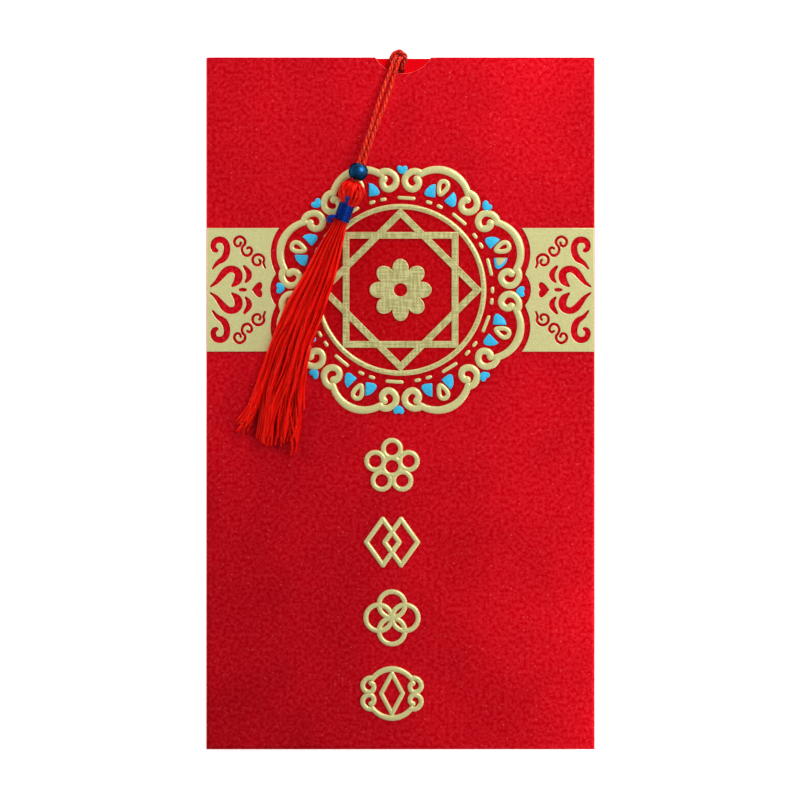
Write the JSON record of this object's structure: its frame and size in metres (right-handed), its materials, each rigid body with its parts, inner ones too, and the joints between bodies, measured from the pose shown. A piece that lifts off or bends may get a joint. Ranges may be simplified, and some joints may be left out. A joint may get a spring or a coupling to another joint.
{
  "type": "wedding invitation card",
  "caption": "Pocket wedding invitation: a red folded sleeve with raised gold medallion and bands, a pull-out insert card, and a red tassel with a dark bead hitched through the insert.",
  "frame": {"origin": "centre of the sleeve's back face, which lies on the table", "axes": "+X to the right and +Y to the open top end, seen from the front, and +Z out of the front"},
  "size_m": [0.105, 0.1891, 0.0102],
  "materials": {
    "pearl_red_board": "pearlescent red board",
    "inside_red_board": "matt red board, inside of the fold",
    "bright_red_card": "smooth bright red card",
    "gold_foil": "embossed champagne gold foil",
    "blue_foil": "embossed sky blue foil",
    "red_cord": "twisted satin cord",
    "red_floss": "satin floss threads",
    "blue_thread": "satin thread, tightly wound",
    "navy_pearl": "dark blue pearl"
  },
  "bodies": {
    "sleeve": {"front_panel": "pearl_red_board", "back_panel": "pearl_red_board", "left_spine": "pearl_red_board", "right_spine": "pearl_red_board", "bottom_fold": "pearl_red_board", "side_glue_flap": "inside_red_board", "bottom_glue_flap": "inside_red_board", "medallion_ring": "gold_foil", "medallion_rosette": "gold_foil", "foil_band_left": "gold_foil", "foil_band_right": "gold_foil", "scroll_lobe_1": "gold_foil", "scroll_lobe_2": "gold_foil", "scroll_lobe_3": "gold_foil", "scroll_lobe_4": "gold_foil", "scroll_lobe_5": "gold_foil", "scroll_lobe_6": "gold_foil", "scroll_lobe_7": "gold_foil", "scroll_lobe_8": "gold_foil", "teardrop_1": "gold_foil", "teardrop_2": "gold_foil", "teardrop_3": "gold_foil", "teardrop_4": "gold_foil", "teardrop_5": "gold_foil", "teardrop_6": "gold_foil", "teardrop_7": "gold_foil", "teardrop_8": "gold_foil", "ring_dash_1": "gold_foil", "ring_dash_2": "gold_foil", "ring_dash_3": "gold_foil", "ring_dash_4": "gold_foil", "ring_dash_5": "gold_foil", "ring_dash_6": "gold_foil", "ring_dash_7": "gold_foil", "ring_dash_8": "gold_foil", "ring_dash_9": "gold_foil", "ring_dash_10": "gold_foil", "ornament_1": "gold_foil", "ornament_2": "gold_foil", "ornament_3": "gold_foil", "ornament_4": "gold_foil", "heart_1": "blue_foil", "heart_2": "blue_foil", "heart_3": "blue_foil", "heart_4": "blue_foil", "heart_5": "blue_foil", "heart_6": "blue_foil", "heart_7": "blue_foil", "heart_8": "blue_foil"},
    "insert": {"insert_card": "bright_red_card", "cord_hitch": "red_cord"},
    "fold": {"cord_fold": "red_cord"},
    "cord": {"cord_strand_left": "red_cord", "cord_strand_right": "red_cord"},
    "bead": {"bead": "navy_pearl"},
    "tassel": {"tassel_head": "red_floss", "neck_binding": "blue_thread", "tassel_skirt": "red_floss"}
  },
  "joints": [
    {"name": "insert_slide", "type": "slide", "parent": "sleeve", "child": "insert", "axis": [0, 1, 0], "range_m": [0, 0.19]},
    {"name": "cord_flip", "type": "hinge", "parent": "insert", "child": "fold", "pos_m": [-0.0005, 0.09405, 0.0048], "axis": [-1, 0, 0], "range_deg": [0, 150]},
    {"name": "cord_swing", "type": "hinge", "parent": "fold", "child": "cord", "pos_m": [-0.0005, 0.09405, 0.0048], "axis": [0, 0, 1], "range_deg": [-40, 78]},
    {"name": "bead_slide", "type": "slide", "parent": "cord", "child": "bead", "axis": [0.3256, 0.9455, 0], "range_m": [0, 0.008]},
    {"name": "tassel_lift", "type": "hinge", "parent": "cord", "child": "tassel", "pos_m": [-0.01329, 0.05689, 0.00665], "axis": [-0.9455, 0.3256, 0], "range_deg": [0, 70]}
  ]
}
